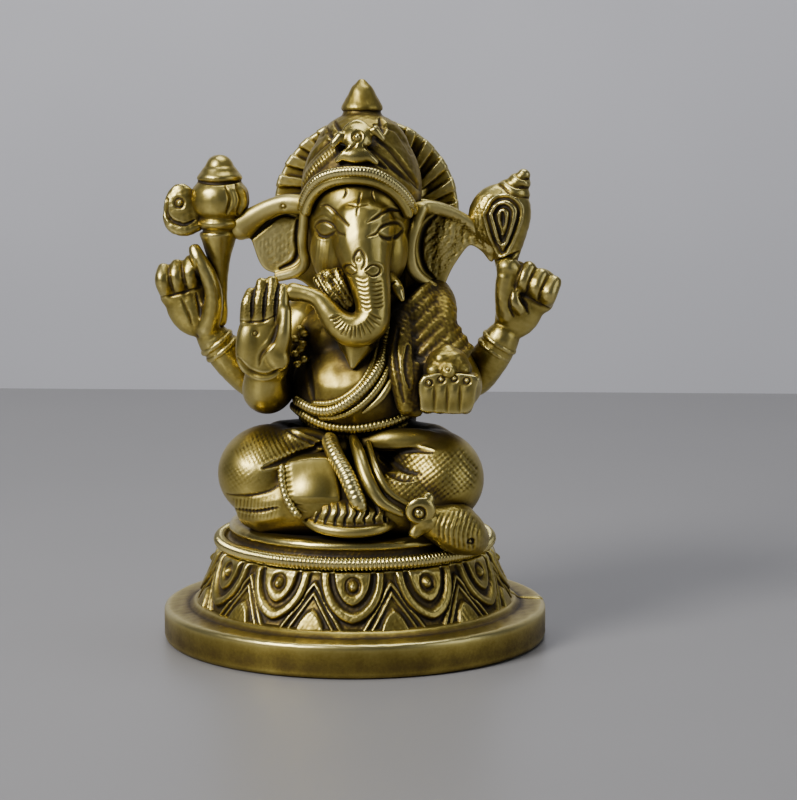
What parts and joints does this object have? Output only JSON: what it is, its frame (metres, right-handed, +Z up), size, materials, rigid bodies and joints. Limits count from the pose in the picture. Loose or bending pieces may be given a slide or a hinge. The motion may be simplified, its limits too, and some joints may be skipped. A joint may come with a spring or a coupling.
{
  "type": "hindu deity statue",
  "caption": "Seated elephant-headed deity in cast brass on a round lotus pedestal, with a mouse at the foot, for a shelf, desk or home altar",
  "frame": {"origin": "centre of the underside of the round base plate, on the surface the statue stands on", "axes": "+Z is up, the deity faces -Y, +X is the deity's left-hand side"},
  "size_m": [0.0726, 0.069, 0.1],
  "materials": {
    "bright_brass": "polished, finely chased",
    "polished_brass": "satin polish",
    "chased_brass": "engraved and lightly darkened",
    "antiqued_brass": "darkened in the recesses"
  },
  "bodies": {
    "root": {"base_plate": "bright_brass", "lotus_pedestal": "antiqued_brass", "pedestal_rope_ring": "bright_brass", "plinth_step": "bright_brass", "seat_plate": "bright_brass", "torso": "polished_brass", "right_leg": "chased_brass", "left_leg": "chased_brass", "right_shin": "polished_brass", "right_anklet": "bright_brass", "dhoti_fan": "chased_brass", "waist_rope_belt": "bright_brass", "sash_rope_tail": "bright_brass", "sash_inner_fold": "chased_brass", "sash_outer_fold": "chased_brass", "sacred_thread": "bright_brass", "halo": "bright_brass", "head": "polished_brass", "trunk": "polished_brass", "right_tusk": "polished_brass", "left_tusk": "polished_brass", "lower_lip": "polished_brass", "crown": "antiqued_brass", "crown_rope_band": "bright_brass", "crown_jewel": "bright_brass", "crown_finial": "bright_brass", "right_ear": "polished_brass", "left_ear": "polished_brass", "lower_right_arm": "polished_brass", "lower_left_arm": "polished_brass", "upper_right_arm": "polished_brass", "upper_left_arm": "polished_brass", "upper_right_bracelet": "bright_brass", "upper_left_bracelet": "bright_brass", "lower_right_armlet": "bright_brass", "blessing_hand": "polished_brass", "offering_hand": "polished_brass", "sweets_heap": "bright_brass", "axe_shaft": "bright_brass", "axe_head": "bright_brass", "axe_blade": "bright_brass", "upper_right_hand": "polished_brass", "conch": "bright_brass", "upper_left_hand": "polished_brass", "shoulder_shawl": "chased_brass", "mouse_body": "polished_brass", "mouse_head": "polished_brass", "mouse_ear": "polished_brass"}
  },
  "joints": []
}
